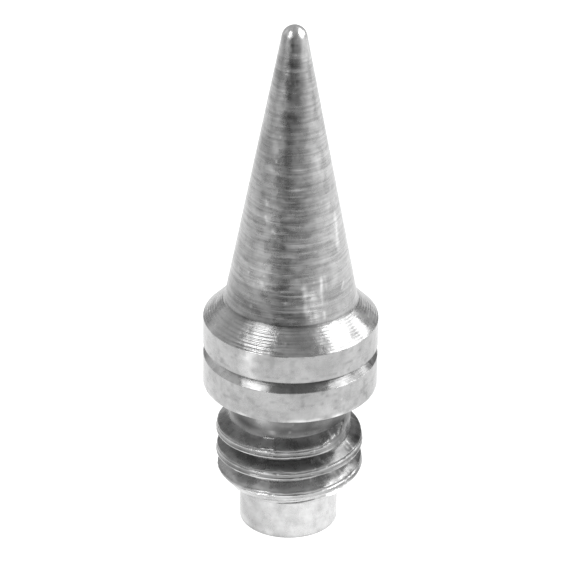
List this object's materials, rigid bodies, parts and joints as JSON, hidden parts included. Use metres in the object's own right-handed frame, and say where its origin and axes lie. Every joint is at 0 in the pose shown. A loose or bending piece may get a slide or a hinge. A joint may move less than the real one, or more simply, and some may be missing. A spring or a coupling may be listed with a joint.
{
  "type": "live center",
  "caption": "Small revolving center: a slender point with a flange turns on ball bearings inside a short threaded shank with a plain pilot.",
  "frame": {"origin": "centre of the pilot's end face, on the turning axis", "axes": "+Z along the turning axis, from the pilot towards the point's tip; the thread's run-out lies near +X"},
  "size_m": [0.0112, 0.0112, 0.0349],
  "materials": {
    "body_steel": "satin turned, with fine turning lines",
    "point_steel": "satin turned, with fine turning lines and light scratches",
    "ground_steel": "ground, bright",
    "race_steel": "ground and honed, bright",
    "ball_steel": "polished",
    "cage_brass": "stamped, satin",
    "shield_steel": "pressed sheet, satin",
    "spring_steel": "oil-blackened spring steel",
    "seal_rubber": "moulded, matt"
  },
  "bodies": {
    "housing": {"housing": "body_steel", "end_plug": "body_steel", "face_seal": "seal_rubber", "thrust_housing_washer": "race_steel", "front_outer_ring": "race_steel", "front_shields": "shield_steel", "spacer_sleeve": "ground_steel", "preload_wave_spring": "spring_steel", "rear_outer_ring": "race_steel", "rear_shields": "shield_steel"},
    "point": {"point": "point_steel", "spindle": "ground_steel", "retaining_clip": "spring_steel", "thrust_shaft_washer": "race_steel", "front_inner_ring": "race_steel", "rear_inner_ring": "race_steel"},
    "thrust_rollers": {"thrust_cage": "cage_brass", "thrust_balls": "ball_steel"},
    "front_rollers": {"front_cage": "cage_brass", "front_balls": "ball_steel"},
    "rear_rollers": {"rear_cage": "cage_brass", "rear_balls": "ball_steel"}
  },
  "joints": [
    {"name": "point_spin", "type": "hinge", "parent": "housing", "child": "point", "pos_m": [0, 0, 0], "axis": [0, 0, 1], "continuous": true},
    {"name": "thrust_roll", "type": "hinge", "parent": "housing", "child": "thrust_rollers", "pos_m": [0, 0, 0.0123], "axis": [0, 0, 1], "continuous": true},
    {"name": "front_roll", "type": "hinge", "parent": "housing", "child": "front_rollers", "pos_m": [0, 0, 0.0092], "axis": [0, 0, 1], "continuous": true},
    {"name": "rear_roll", "type": "hinge", "parent": "housing", "child": "rear_rollers", "pos_m": [0, 0, 0.0026], "axis": [0, 0, 1], "continuous": true}
  ],
  "couplings": [
    {"joint": "thrust_roll", "follows": "point_spin", "ratio": 0.5},
    {"joint": "front_roll", "follows": "point_spin", "ratio": 0.4111},
    {"joint": "rear_roll", "follows": "point_spin", "ratio": 0.3857}
  ]
}
